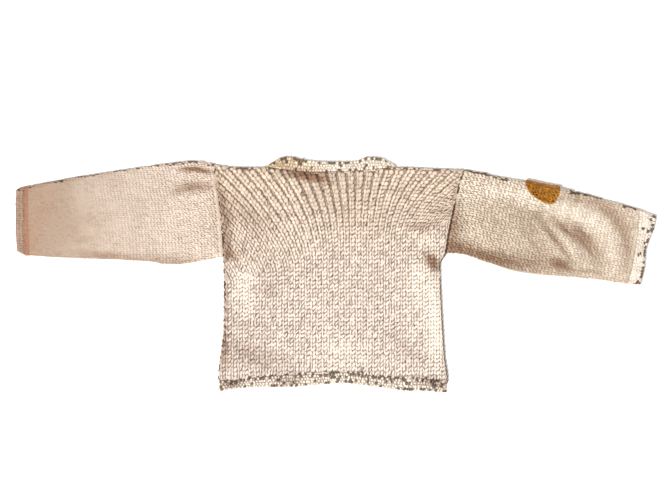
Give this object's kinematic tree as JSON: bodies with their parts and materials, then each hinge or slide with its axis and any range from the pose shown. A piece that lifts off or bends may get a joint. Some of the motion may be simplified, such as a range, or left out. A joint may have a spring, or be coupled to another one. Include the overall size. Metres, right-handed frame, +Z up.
{
  "type": "child's knitted sweater",
  "caption": "Child's hand-knitted wool sweater laid flat: ribbed fan yoke, drop sleeves, garter-stitch bands and an elbow patch.",
  "frame": {"origin": "under the middle of the whole laid-out sweater, on the surface that it lies on", "axes": "+X from the left sleeve's cuff in the view from above to the right one's, +Y from the hem to the neck, +Z up from the surface"},
  "size_m": [0.865, 0.3184, 0.0134],
  "materials": {
    "body_knit": "cream wool in stocking stitch, ribbed on the chest",
    "tan_knit": "fine wool knit, pale tan at the cuff and cream at the armhole",
    "oatmeal_knit": "oatmeal wool in stocking stitch",
    "bark_rib": "brown-grey wool in fine rib",
    "ivory_garter": "ivory wool in garter stitch",
    "ochre_knit": "ochre wool knit, sewn on"
  },
  "bodies": {
    "root": {"front": "body_knit", "back": "body_knit", "sleeve_left": "tan_knit", "sleeve_right": "oatmeal_knit", "cuff_left": "bark_rib", "cuff_right": "ivory_garter", "neckband": "ivory_garter", "hem_band": "ivory_garter", "elbow_patch": "ochre_knit"}
  },
  "joints": []
}
